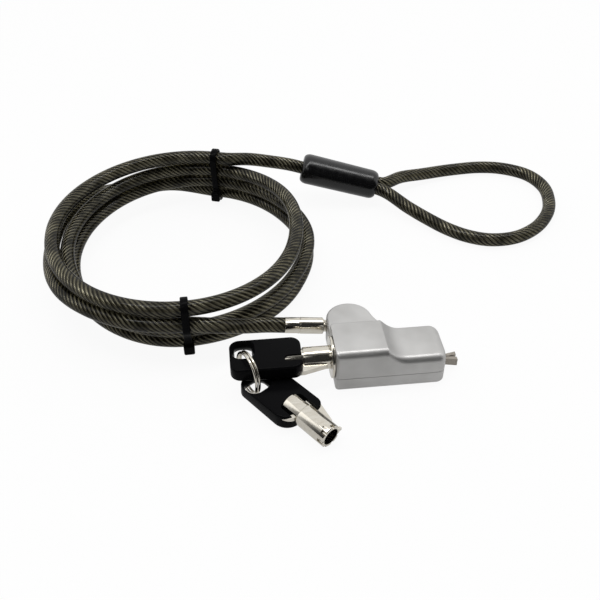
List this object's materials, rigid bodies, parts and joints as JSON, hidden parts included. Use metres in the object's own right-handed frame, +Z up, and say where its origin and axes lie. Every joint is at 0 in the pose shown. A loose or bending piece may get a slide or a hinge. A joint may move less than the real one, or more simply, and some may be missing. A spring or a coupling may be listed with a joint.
{
  "type": "laptop cable lock",
  "caption": "Laptop cable lock with a silver die-cast head, scissor tip, tubular key cylinder, swivelling cable end, tied coil of steel cable with a sleeved eye loop, and keys on a split ring.",
  "frame": {"origin": "middle of the lock head's underside, straight below the key axis", "axes": "+X along the lock head from the key side to the nose that meets the device, +Y towards the ear that holds the cable's swivel, +Z up from the table"},
  "size_m": [0.2169, 0.1626, 0.0261],
  "materials": {
    "satin_zinc": "satin silver die-cast zinc with soft bright edges",
    "polished_nickel": "polished nickel plate",
    "plain_steel": "plain machined steel",
    "brass": "turned brass",
    "black_plastic": "glossy black moulded plastic",
    "cable_jacket": "smoky clear jacket over twisted steel strands"
  },
  "bodies": {
    "housing": {"upper_shell": "satin_zinc", "lower_shell": "satin_zinc", "case_screw_1": "plain_steel", "case_screw_2": "plain_steel", "case_screw_3": "plain_steel", "lock_barrel": "polished_nickel", "driver_block": "brass", "barrel_pin": "plain_steel", "blade_pivot_pin": "plain_steel", "driver_pin_1": "plain_steel", "driver_pin_2": "plain_steel", "driver_pin_3": "plain_steel", "driver_pin_4": "plain_steel", "driver_pin_5": "plain_steel", "driver_pin_6": "plain_steel", "driver_pin_7": "plain_steel", "cable_coil": "cable_jacket", "cable_front_tail": "cable_jacket", "cable_back_tail": "cable_jacket", "cable_eye": "cable_jacket", "sleeve_boot": "black_plastic", "loop_crimp": "plain_steel", "tie_front": "black_plastic", "tie_back": "black_plastic"},
    "plug": {"lock_rotor": "polished_nickel", "tail_cam": "plain_steel", "cam_screw": "plain_steel", "key_pin_1": "brass", "key_pin_2": "brass", "key_pin_3": "brass", "key_pin_4": "brass", "key_pin_5": "brass", "key_pin_6": "brass", "key_pin_7": "brass"},
    "key_1": {"key_1_head": "black_plastic", "key_1_shank": "polished_nickel"},
    "ring": {"split_ring": "polished_nickel"},
    "key_2": {"key_2_head": "black_plastic", "key_2_shank": "polished_nickel"},
    "wedge": {"spreader_wedge": "plain_steel"},
    "front_blade": {"blade_front": "plain_steel"},
    "rear_blade": {"blade_rear": "plain_steel"},
    "cable_end": {"swivel_stem": "polished_nickel", "cable_ferrule": "polished_nickel"}
  },
  "joints": [
    {"name": "plug_turn", "type": "hinge", "parent": "housing", "child": "plug", "pos_m": [-0.015, 0, 0.0082], "axis": [-1, 0, 0], "range_deg": [0, 90]},
    {"name": "key_1_slide", "type": "slide", "parent": "plug", "child": "key_1", "axis": [-1, 0, 0], "range_m": [0, 0.012]},
    {"name": "ring_turn", "type": "hinge", "parent": "key_1", "child": "ring", "pos_m": [-0.0475, -0.00419, 0.00779], "axis": [0.921, 0.3868, -0.0461], "continuous": true},
    {"name": "key_2_fan", "type": "hinge", "parent": "key_1", "child": "key_2", "pos_m": [-0.0449, -0.0082, 0.004], "axis": [0, 0, 1], "range_deg": [-30, 8]},
    {"name": "wedge_slide", "type": "slide", "parent": "housing", "child": "wedge", "axis": [1, 0, 0], "range_m": [0, 0.0034]},
    {"name": "front_blade_swing", "type": "hinge", "parent": "housing", "child": "front_blade", "pos_m": [0.0132, 0, 0.0029], "axis": [0, 0, -1], "range_deg": [0, 10]},
    {"name": "rear_blade_swing", "type": "hinge", "parent": "housing", "child": "rear_blade", "pos_m": [0.0132, 0, 0.0029], "axis": [0, 0, 1], "range_deg": [0, 10]},
    {"name": "swivel_spin", "type": "hinge", "parent": "housing", "child": "cable_end", "pos_m": [-0.0125, 0.018, 0.0056], "axis": [-0.9936, 0, 0.1132], "continuous": true}
  ],
  "couplings": [
    {"joint": "wedge_slide", "follows": "plug_turn", "m_per_rad": 0.0021645},
    {"joint": "front_blade_swing", "follows": "plug_turn", "ratio": 0.11111},
    {"joint": "rear_blade_swing", "follows": "plug_turn", "ratio": 0.11111}
  ]
}
